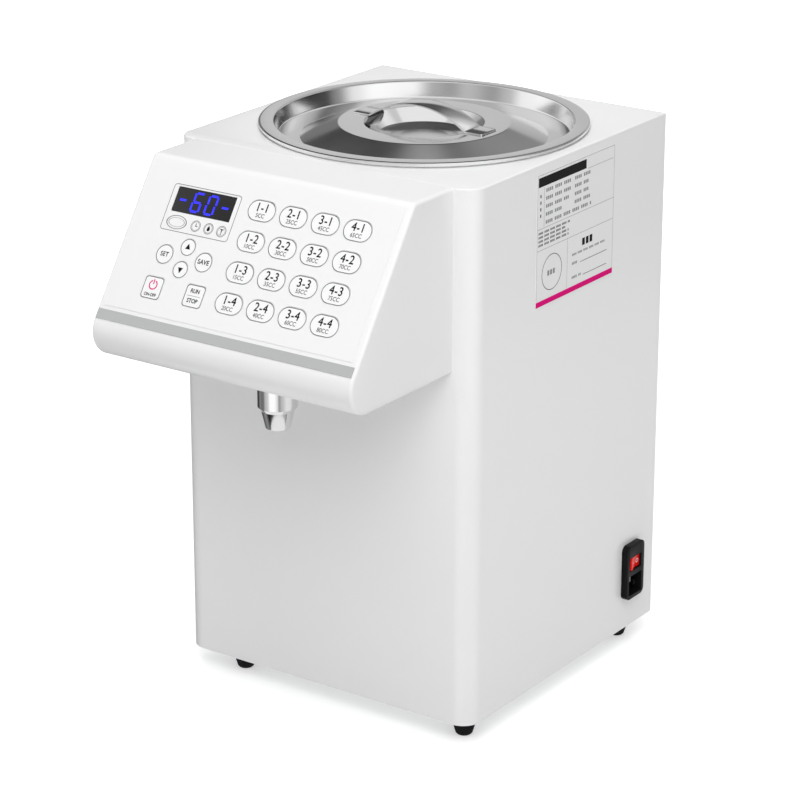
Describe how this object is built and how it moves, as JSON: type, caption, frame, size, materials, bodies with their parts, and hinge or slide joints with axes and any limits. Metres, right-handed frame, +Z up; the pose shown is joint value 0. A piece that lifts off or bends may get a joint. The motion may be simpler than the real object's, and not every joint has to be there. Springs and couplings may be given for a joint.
{
  "type": "fructose dispenser",
  "caption": "Countertop syrup dispenser: a tall white cabinet around a lidded round tank, with an overhanging keypad head and a nozzle under it.",
  "frame": {"origin": "middle of the footprint, on the surface that the feet stand on", "axes": "+Z up; the keypad and nozzle face -Y; +X is to the right when facing the keypad, the side of the mains inlet"},
  "size_m": [0.2759, 0.3952, 0.4538],
  "materials": {
    "white_paint": "gloss",
    "galvanised": "satin",
    "rubber_black": "matte",
    "screw_steel": "satin",
    "stainless": "polished",
    "silicone_grey": "matte",
    "brass": "satin",
    "silicone_clear": "satin",
    "pump_plastic": "matte",
    "pump_cover_steel": "satin",
    "motor_paint": "satin",
    "overlay_white": "satin",
    "window_black": "gloss",
    "display_blue": "gloss",
    "circuit_green": "satin",
    "strip_silver": "satin",
    "black_plastic": "satin",
    "cable_black": "matte",
    "label_white": "satin",
    "gear_steel": "machined",
    "red_plastic": "gloss",
    "key_white": "satin"
  },
  "bodies": {
    "cabinet": {"body_wrap": "white_paint", "top_cover": "white_paint", "back_panel": "white_paint", "base_pan": "galvanised", "rubber_feet": "rubber_black", "foot_screws": "screw_steel", "back_screws": "screw_steel", "tank": "stainless", "tank_gasket": "silicone_grey", "tank_outlet": "brass", "outlet_nut": "brass", "suction_hose": "silicone_clear", "pump_body": "pump_plastic", "pump_cover": "pump_cover_steel", "pump_motor": "motor_paint", "motor_bracket": "galvanised", "delivery_hose": "silicone_clear", "nozzle": "stainless", "nozzle_nut": "screw_steel", "head_shell": "white_paint", "head_screws": "screw_steel", "keypad_overlay": "overlay_white", "display_window": "window_black", "display_module": "display_blue", "switch_board": "circuit_green", "board_posts": "screw_steel", "trim_strip": "strip_silver", "power_board": "circuit_green", "inlet_module": "black_plastic", "inlet_pins": "screw_steel", "wiring_loom": "cable_black", "rating_label": "label_white"},
    "lid": {"lid_pan": "stainless", "lid_handle": "stainless"},
    "drive_gear": {"drive_gear": "gear_steel"},
    "idler_gear": {"idler_gear": "gear_steel"},
    "rocker": {"power_rocker": "red_plastic"},
    "key_1_1": {"key_1_1": "key_white"},
    "key_2_1": {"key_2_1": "key_white"},
    "key_3_1": {"key_3_1": "key_white"},
    "key_4_1": {"key_4_1": "key_white"},
    "key_1_2": {"key_1_2": "key_white"},
    "key_2_2": {"key_2_2": "key_white"},
    "key_3_2": {"key_3_2": "key_white"},
    "key_4_2": {"key_4_2": "key_white"},
    "key_1_3": {"key_1_3": "key_white"},
    "key_2_3": {"key_2_3": "key_white"},
    "key_3_3": {"key_3_3": "key_white"},
    "key_4_3": {"key_4_3": "key_white"},
    "key_1_4": {"key_1_4": "key_white"},
    "key_2_4": {"key_2_4": "key_white"},
    "key_3_4": {"key_3_4": "key_white"},
    "key_4_4": {"key_4_4": "key_white"},
    "key_up": {"key_up": "key_white"},
    "key_down": {"key_down": "key_white"},
    "key_set": {"key_set": "key_white"},
    "key_save": {"key_save": "key_white"},
    "key_power": {"key_power": "key_white"},
    "key_stop": {"key_stop": "key_white"}
  },
  "joints": [
    {"name": "lid_lift", "type": "slide", "parent": "cabinet", "child": "lid", "axis": [0, 0, 1], "range_m": [0, 0.12]},
    {"name": "drive_gear_spin", "type": "hinge", "parent": "cabinet", "child": "drive_gear", "pos_m": [0.014, 0.06227, 0.1], "axis": [0, 1, 0], "continuous": true},
    {"name": "idler_gear_spin", "type": "hinge", "parent": "cabinet", "child": "idler_gear", "pos_m": [-0.014, 0.06227, 0.1], "axis": [0, 1, 0], "continuous": true},
    {"name": "rocker_tilt", "type": "hinge", "parent": "cabinet", "child": "rocker", "pos_m": [0.1335, 0.16147, 0.0726], "axis": [0, 0, 1], "range_deg": [-16, 0]},
    {"name": "key_1_1_press", "type": "slide", "parent": "cabinet", "child": "key_1_1", "axis": [0, 0.8271, -0.5621], "range_m": [0, 0.0006], "stiffness_N_per_m": 600},
    {"name": "key_2_1_press", "type": "slide", "parent": "cabinet", "child": "key_2_1", "axis": [0, 0.8271, -0.5621], "range_m": [0, 0.0006], "stiffness_N_per_m": 600},
    {"name": "key_3_1_press", "type": "slide", "parent": "cabinet", "child": "key_3_1", "axis": [0, 0.8271, -0.5621], "range_m": [0, 0.0006], "stiffness_N_per_m": 600},
    {"name": "key_4_1_press", "type": "slide", "parent": "cabinet", "child": "key_4_1", "axis": [0, 0.8271, -0.5621], "range_m": [0, 0.0006], "stiffness_N_per_m": 600},
    {"name": "key_1_2_press", "type": "slide", "parent": "cabinet", "child": "key_1_2", "axis": [0, 0.8271, -0.5621], "range_m": [0, 0.0006], "stiffness_N_per_m": 600},
    {"name": "key_2_2_press", "type": "slide", "parent": "cabinet", "child": "key_2_2", "axis": [0, 0.8271, -0.5621], "range_m": [0, 0.0006], "stiffness_N_per_m": 600},
    {"name": "key_3_2_press", "type": "slide", "parent": "cabinet", "child": "key_3_2", "axis": [0, 0.8271, -0.5621], "range_m": [0, 0.0006], "stiffness_N_per_m": 600},
    {"name": "key_4_2_press", "type": "slide", "parent": "cabinet", "child": "key_4_2", "axis": [0, 0.8271, -0.5621], "range_m": [0, 0.0006], "stiffness_N_per_m": 600},
    {"name": "key_1_3_press", "type": "slide", "parent": "cabinet", "child": "key_1_3", "axis": [0, 0.8271, -0.5621], "range_m": [0, 0.0006], "stiffness_N_per_m": 600},
    {"name": "key_2_3_press", "type": "slide", "parent": "cabinet", "child": "key_2_3", "axis": [0, 0.8271, -0.5621], "range_m": [0, 0.0006], "stiffness_N_per_m": 600},
    {"name": "key_3_3_press", "type": "slide", "parent": "cabinet", "child": "key_3_3", "axis": [0, 0.8271, -0.5621], "range_m": [0, 0.0006], "stiffness_N_per_m": 600},
    {"name": "key_4_3_press", "type": "slide", "parent": "cabinet", "child": "key_4_3", "axis": [0, 0.8271, -0.5621], "range_m": [0, 0.0006], "stiffness_N_per_m": 600},
    {"name": "key_1_4_press", "type": "slide", "parent": "cabinet", "child": "key_1_4", "axis": [0, 0.8271, -0.5621], "range_m": [0, 0.0006], "stiffness_N_per_m": 600},
    {"name": "key_2_4_press", "type": "slide", "parent": "cabinet", "child": "key_2_4", "axis": [0, 0.8271, -0.5621], "range_m": [0, 0.0006], "stiffness_N_per_m": 600},
    {"name": "key_3_4_press", "type": "slide", "parent": "cabinet", "child": "key_3_4", "axis": [0, 0.8271, -0.5621], "range_m": [0, 0.0006], "stiffness_N_per_m": 600},
    {"name": "key_4_4_press", "type": "slide", "parent": "cabinet", "child": "key_4_4", "axis": [0, 0.8271, -0.5621], "range_m": [0, 0.0006], "stiffness_N_per_m": 600},
    {"name": "key_up_press", "type": "slide", "parent": "cabinet", "child": "key_up", "axis": [0, 0.8271, -0.5621], "range_m": [0, 0.0006], "stiffness_N_per_m": 600},
    {"name": "key_down_press", "type": "slide", "parent": "cabinet", "child": "key_down", "axis": [0, 0.8271, -0.5621], "range_m": [0, 0.0006], "stiffness_N_per_m": 600},
    {"name": "key_set_press", "type": "slide", "parent": "cabinet", "child": "key_set", "axis": [0, 0.8271, -0.5621], "range_m": [0, 0.0006], "stiffness_N_per_m": 600},
    {"name": "key_save_press", "type": "slide", "parent": "cabinet", "child": "key_save", "axis": [0, 0.8271, -0.5621], "range_m": [0, 0.0006], "stiffness_N_per_m": 600},
    {"name": "key_power_press", "type": "slide", "parent": "cabinet", "child": "key_power", "axis": [0, 0.8271, -0.5621], "range_m": [0, 0.0006], "stiffness_N_per_m": 600},
    {"name": "key_stop_press", "type": "slide", "parent": "cabinet", "child": "key_stop", "axis": [0, 0.8271, -0.5621], "range_m": [0, 0.0006], "stiffness_N_per_m": 600}
  ],
  "couplings": [
    {"joint": "idler_gear_spin", "follows": "drive_gear_spin", "ratio": -1}
  ]
}
